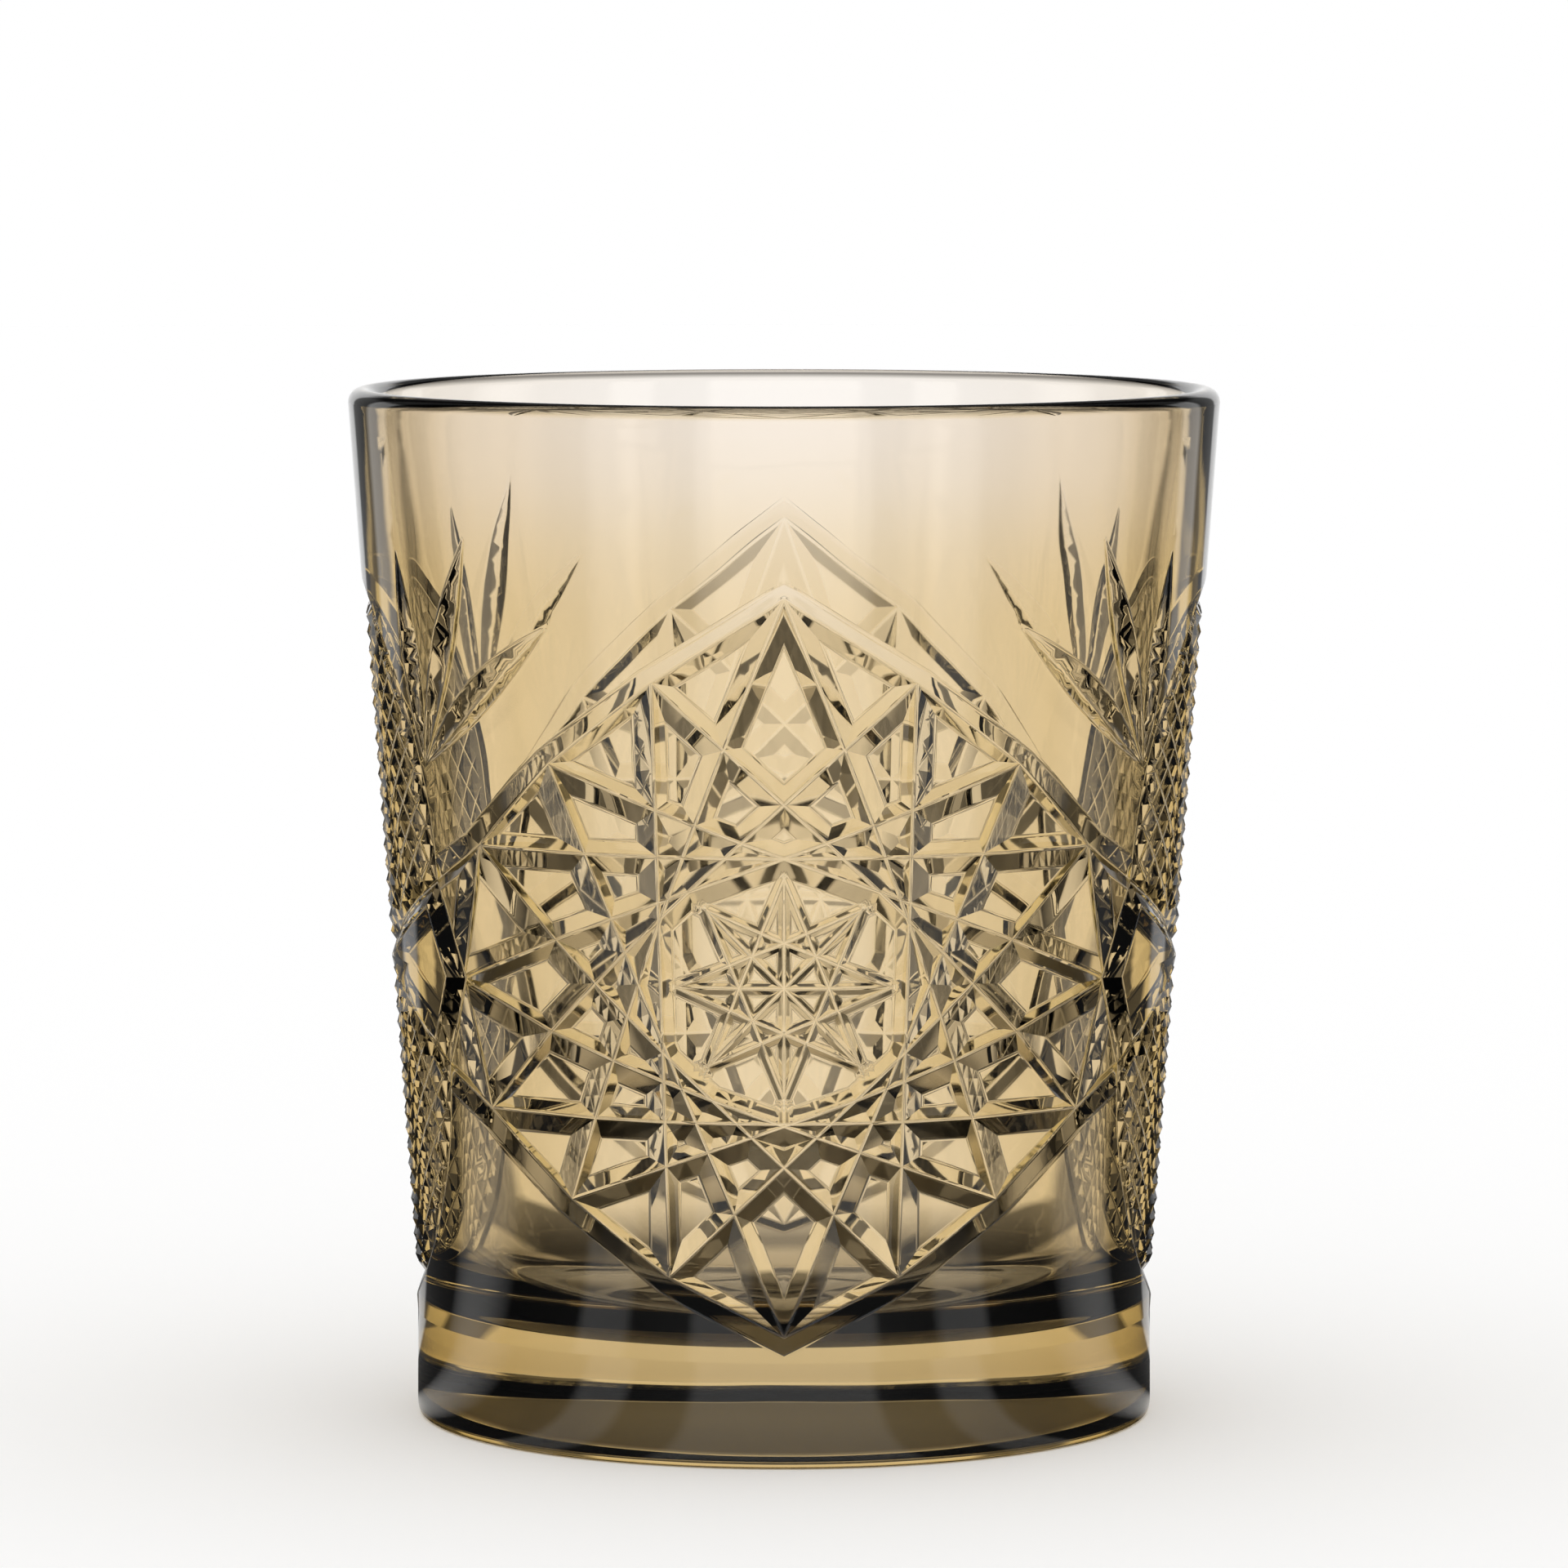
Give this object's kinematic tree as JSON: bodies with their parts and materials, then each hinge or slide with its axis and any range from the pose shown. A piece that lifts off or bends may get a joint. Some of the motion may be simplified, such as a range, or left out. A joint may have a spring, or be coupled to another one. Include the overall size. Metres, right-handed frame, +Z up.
{
  "type": "double old fashioned glass",
  "caption": "Thick-based flaring tumbler of warm tinted pressed glass, mitre-cut with hobstar medallions, arched hatched shields and leaf fans, for short drinks over ice.",
  "frame": {"origin": "on the table, under the middle of the glass", "axes": "+Z up along the glass's axis; -Y towards the front medallion; +X towards the right-hand shields"},
  "size_m": [0.0878, 0.0878, 0.104],
  "materials": {
    "tinted_glass": "clear polished pressed glass with a warm amber tint that pales towards the rim"
  },
  "bodies": {
    "root": {"tumbler": "tinted_glass"}
  },
  "joints": []
}
